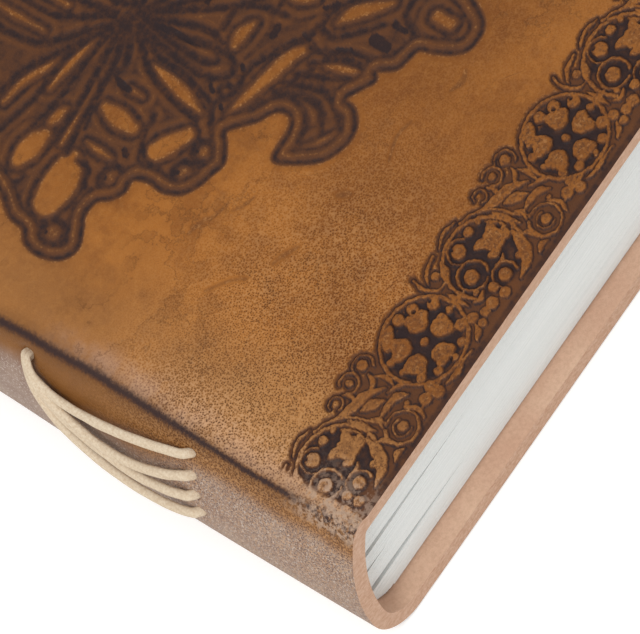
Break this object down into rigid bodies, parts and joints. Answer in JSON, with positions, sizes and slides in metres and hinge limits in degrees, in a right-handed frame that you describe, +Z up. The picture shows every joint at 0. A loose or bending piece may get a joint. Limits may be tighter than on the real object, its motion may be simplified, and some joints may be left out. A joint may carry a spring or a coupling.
{
  "type": "leather journal",
  "caption": "Hand-bound leather journal with tooled border and foliate centrepiece, cord-sewn rounded spine and hinged soft covers",
  "frame": {"origin": "middle of the back cover's underside, on the surface that the journal lies on", "axes": "+Z up through the pages, +Y along the spine from tail to head, +X from the spine to the fore-edge"},
  "size_m": [0.1633, 0.21, 0.0302],
  "materials": {
    "hide": "vegetable tanned, hand dyed, waxed, cut edges bare",
    "paper": "uncoated off-white",
    "linen_cord": "natural, softly twisted"
  },
  "bodies": {
    "book": {"spine_leather": "hide", "page_block": "paper", "cord_1": "linen_cord", "cord_2": "linen_cord", "cord_3": "linen_cord", "cord_4": "linen_cord", "tail_knot": "linen_cord", "head_knot": "linen_cord"},
    "front_cover": {"front_cover": "hide"},
    "back_cover": {"back_cover": "hide"}
  },
  "joints": [
    {"name": "front_cover_fold", "type": "hinge", "parent": "book", "child": "front_cover", "pos_m": [-0.07513, 0, 0.0302], "axis": [0, -1, 0], "range_deg": [0, 180]},
    {"name": "back_cover_fold", "type": "hinge", "parent": "book", "child": "back_cover", "pos_m": [-0.07687, 0, 0], "axis": [0, 1, 0], "range_deg": [0, 180]}
  ]
}
